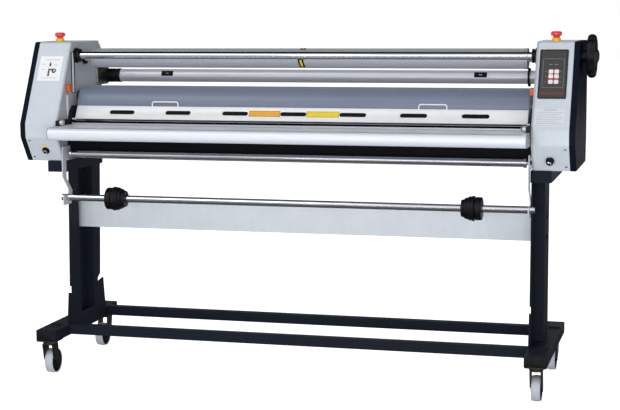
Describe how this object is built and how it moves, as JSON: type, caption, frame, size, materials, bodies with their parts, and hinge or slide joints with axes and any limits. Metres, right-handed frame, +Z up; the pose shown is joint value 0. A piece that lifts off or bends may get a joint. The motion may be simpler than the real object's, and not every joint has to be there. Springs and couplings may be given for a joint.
{
  "type": "cold laminator",
  "caption": "Wide-format cold roll laminator on a wheeled stand, with silicone rollers, a handwheel lift, feed table, slotted guard, roll shafts and core chucks.",
  "frame": {"origin": "on the floor, under the middle of the object's box", "axes": "+X along the rollers to the right as seen by the operator, +Y away from the operator, +Z up"},
  "size_m": [2.03, 0.596, 1.2196],
  "materials": {
    "stand_black": "satin powder coat",
    "tie_grey": "satin powder coat",
    "cover_light": "fine powder coat",
    "cover_dark": "satin powder coat",
    "plate_grey": "satin paint",
    "black_metal": "satin black",
    "black_plastic": "moulded",
    "black_zinc": "black zinc",
    "caster_zinc": "yellow-grey zinc",
    "grey_zinc": "zinc",
    "arm_grey": "light grey",
    "silicone": "smooth silicone",
    "turned_steel": "turned",
    "chrome": "polished",
    "satin_aluminium": "satin anodised",
    "guard_white": "white paint",
    "table_light": "pale anodised",
    "cap_grey": "moulded",
    "stop_red": "gloss",
    "stop_yellow": "moulded",
    "panel_black": "gloss film",
    "key_white": "moulded",
    "tyre_grey": "grey elastic tyre",
    "sensor_amber": "amber lens",
    "board_green": "circuit board"
  },
  "bodies": {
    "frame": {"feet": "stand_black", "legs": "stand_black", "stretchers": "stand_black", "tie_panel": "tie_grey", "fasteners": "black_zinc", "caster_plates": "caster_zinc", "side_plates": "plate_grey", "left_front_cover": "cover_light", "right_front_cover": "cover_light", "outer_covers": "cover_dark", "rear_crossbeam": "black_metal", "lower_apron": "black_metal", "estop_collars": "stop_yellow", "control_panel": "panel_black", "shaft_bearings": "black_plastic", "gear_motor": "plate_grey", "front_brackets": "black_metal", "shaft_arms": "arm_grey", "rear_brackets": "grey_zinc", "mains_socket": "black_plastic", "photo_sensors": "sensor_amber", "control_board": "board_green"},
    "lift_carriage": {"upper_bearing_blocks": "turned_steel"},
    "upper_roller": {"upper_roller_shaft": "turned_steel", "upper_roller_sleeve": "silicone"},
    "lower_roller": {"lower_roller_shaft": "turned_steel", "lower_roller_sleeve": "silicone"},
    "motor_pinion": {"drive_pinion": "turned_steel"},
    "lift_drive": {"cross_shaft": "chrome", "handwheel": "black_plastic"},
    "supply_roll": {"supply_shaft": "satin_aluminium"},
    "rear_roll": {"rear_shaft": "satin_aluminium"},
    "idler_roll": {"lower_idler_bar": "chrome"},
    "media_roll": {"media_shaft": "chrome"},
    "left_core_chuck": {"left_chuck": "black_plastic"},
    "right_core_chuck": {"right_chuck": "black_plastic"},
    "guard": {"guard_panel": "guard_white", "guard_handles": "chrome"},
    "table": {"feed_table": "table_light", "table_end_caps": "cap_grey", "hold_down_rail": "satin_aluminium"},
    "left_clamp": {"left_table_knob": "turned_steel"},
    "right_clamp": {"right_table_knob": "turned_steel"},
    "speed_dial": {"speed_knob": "black_plastic"},
    "left_stop": {"left_estop": "stop_red"},
    "right_stop": {"right_estop": "stop_red"},
    "key_1": {"key_1": "key_white"},
    "key_2": {"key_2": "key_white"},
    "key_3": {"key_3": "key_white"},
    "key_4": {"key_4": "key_white"},
    "key_5": {"key_5": "key_white"},
    "key_6": {"key_6": "key_white"},
    "front_left_fork": {"front_left_fork": "caster_zinc"},
    "front_left_wheel": {"front_left_wheel": "tyre_grey"},
    "front_right_fork": {"front_right_fork": "caster_zinc"},
    "front_right_wheel": {"front_right_wheel": "tyre_grey"},
    "rear_left_fork": {"rear_left_fork": "caster_zinc"},
    "rear_left_wheel": {"rear_left_wheel": "tyre_grey"},
    "rear_right_fork": {"rear_right_fork": "caster_zinc"},
    "rear_right_wheel": {"rear_right_wheel": "tyre_grey"}
  },
  "joints": [
    {"name": "handwheel_turn", "type": "hinge", "parent": "frame", "child": "lift_drive", "pos_m": [-0.028, -0.024, 1.137], "axis": [1, 0, 0], "range_deg": [0, 133.7]},
    {"name": "roller_lift", "type": "slide", "parent": "frame", "child": "lift_carriage", "axis": [0, 0, 1], "range_m": [0, 0.028]},
    {"name": "lower_roller_spin", "type": "hinge", "parent": "frame", "child": "lower_roller", "pos_m": [-0.028, -0.002, 0.832], "axis": [1, 0, 0], "continuous": true},
    {"name": "upper_roller_spin", "type": "hinge", "parent": "lift_carriage", "child": "upper_roller", "pos_m": [-0.028, -0.002, 0.9626], "axis": [1, 0, 0], "continuous": true},
    {"name": "motor_pinion_spin", "type": "hinge", "parent": "frame", "child": "motor_pinion", "pos_m": [-0.928, 0.064, 0.832], "axis": [1, 0, 0], "continuous": true},
    {"name": "supply_spin", "type": "hinge", "parent": "frame", "child": "supply_roll", "pos_m": [-0.028, 0.053, 1.125], "axis": [1, 0, 0], "continuous": true},
    {"name": "rear_spin", "type": "hinge", "parent": "frame", "child": "rear_roll", "pos_m": [-0.028, 0.24, 1.053], "axis": [1, 0, 0], "continuous": true},
    {"name": "idler_spin", "type": "hinge", "parent": "frame", "child": "idler_roll", "pos_m": [-0.028, -0.14, 0.787], "axis": [1, 0, 0], "continuous": true},
    {"name": "media_spin", "type": "hinge", "parent": "frame", "child": "media_roll", "pos_m": [-0.028, -0.15, 0.631], "axis": [1, 0, 0], "continuous": true},
    {"name": "left_chuck_slide", "type": "slide", "parent": "media_roll", "child": "left_core_chuck", "axis": [1, 0, 0], "range_m": [-0.14, 0.45]},
    {"name": "right_chuck_slide", "type": "slide", "parent": "media_roll", "child": "right_core_chuck", "axis": [-1, 0, 0], "range_m": [-0.14, 0.45]},
    {"name": "guard_swing", "type": "hinge", "parent": "frame", "child": "guard", "pos_m": [-0.028, -0.097, 0.911], "axis": [1, 0, 0], "range_deg": [0, 100]},
    {"name": "table_slide", "type": "slide", "parent": "frame", "child": "table", "axis": [0, -1, 0], "range_m": [0, 0.06]},
    {"name": "left_clamp_turn", "type": "hinge", "parent": "frame", "child": "left_clamp", "pos_m": [-0.848, -0.205, 0.9045], "axis": [1, 0, 0], "range_deg": [0, 270]},
    {"name": "right_clamp_turn", "type": "hinge", "parent": "frame", "child": "right_clamp", "pos_m": [0.792, -0.205, 0.9045], "axis": [1, 0, 0], "range_deg": [0, 270]},
    {"name": "speed_turn", "type": "hinge", "parent": "frame", "child": "speed_dial", "pos_m": [0.872, -0.17065, 0.8016], "axis": [0, -0.8393, -0.5436], "range_deg": [-135, 135]},
    {"name": "left_stop_press", "type": "slide", "parent": "frame", "child": "left_stop", "axis": [0, 0, -1], "range_m": [0, 0.004], "stiffness_N_per_m": 800, "springref_m": -0.004},
    {"name": "right_stop_press", "type": "slide", "parent": "frame", "child": "right_stop", "axis": [0, 0, -1], "range_m": [0, 0.004], "stiffness_N_per_m": 800, "springref_m": -0.004},
    {"name": "key_1_press", "type": "slide", "parent": "frame", "child": "key_1", "axis": [0, 0.8894, -0.4571], "range_m": [0, 0.001], "stiffness_N_per_m": 300, "springref_m": -0.001},
    {"name": "key_2_press", "type": "slide", "parent": "frame", "child": "key_2", "axis": [0, 0.8894, -0.4571], "range_m": [0, 0.001], "stiffness_N_per_m": 300, "springref_m": -0.001},
    {"name": "key_3_press", "type": "slide", "parent": "frame", "child": "key_3", "axis": [0, 0.8894, -0.4571], "range_m": [0, 0.001], "stiffness_N_per_m": 300, "springref_m": -0.001},
    {"name": "key_4_press", "type": "slide", "parent": "frame", "child": "key_4", "axis": [0, 0.8894, -0.4571], "range_m": [0, 0.001], "stiffness_N_per_m": 300, "springref_m": -0.001},
    {"name": "key_5_press", "type": "slide", "parent": "frame", "child": "key_5", "axis": [0, 0.8894, -0.4571], "range_m": [0, 0.001], "stiffness_N_per_m": 300, "springref_m": -0.001},
    {"name": "key_6_press", "type": "slide", "parent": "frame", "child": "key_6", "axis": [0, 0.8894, -0.4571], "range_m": [0, 0.001], "stiffness_N_per_m": 300, "springref_m": -0.001},
    {"name": "front_left_swivel", "type": "hinge", "parent": "frame", "child": "front_left_fork", "pos_m": [-0.9, -0.245, 0.118], "axis": [0, 0, 1], "continuous": true},
    {"name": "front_left_roll", "type": "hinge", "parent": "front_left_fork", "child": "front_left_wheel", "pos_m": [-0.9, -0.219, 0.044], "axis": [1, 0, 0], "continuous": true},
    {"name": "front_right_swivel", "type": "hinge", "parent": "frame", "child": "front_right_fork", "pos_m": [0.844, -0.245, 0.118], "axis": [0, 0, 1], "continuous": true},
    {"name": "front_right_roll", "type": "hinge", "parent": "front_right_fork", "child": "front_right_wheel", "pos_m": [0.844, -0.219, 0.044], "axis": [1, 0, 0], "continuous": true},
    {"name": "rear_left_swivel", "type": "hinge", "parent": "frame", "child": "rear_left_fork", "pos_m": [-0.9, 0.265, 0.118], "axis": [0, 0, 1], "continuous": true},
    {"name": "rear_left_roll", "type": "hinge", "parent": "rear_left_fork", "child": "rear_left_wheel", "pos_m": [-0.9, 0.239, 0.044], "axis": [1, 0, 0], "continuous": true},
    {"name": "rear_right_swivel", "type": "hinge", "parent": "frame", "child": "rear_right_fork", "pos_m": [0.844, 0.265, 0.118], "axis": [0, 0, 1], "continuous": true},
    {"name": "rear_right_roll", "type": "hinge", "parent": "rear_right_fork", "child": "rear_right_wheel", "pos_m": [0.844, 0.239, 0.044], "axis": [1, 0, 0], "continuous": true}
  ],
  "couplings": [
    {"joint": "handwheel_turn", "follows": "roller_lift", "rad_per_m": 83.333},
    {"joint": "upper_roller_spin", "follows": "lower_roller_spin", "ratio": -1},
    {"joint": "motor_pinion_spin", "follows": "lower_roller_spin", "ratio": -2.6667}
  ]
}
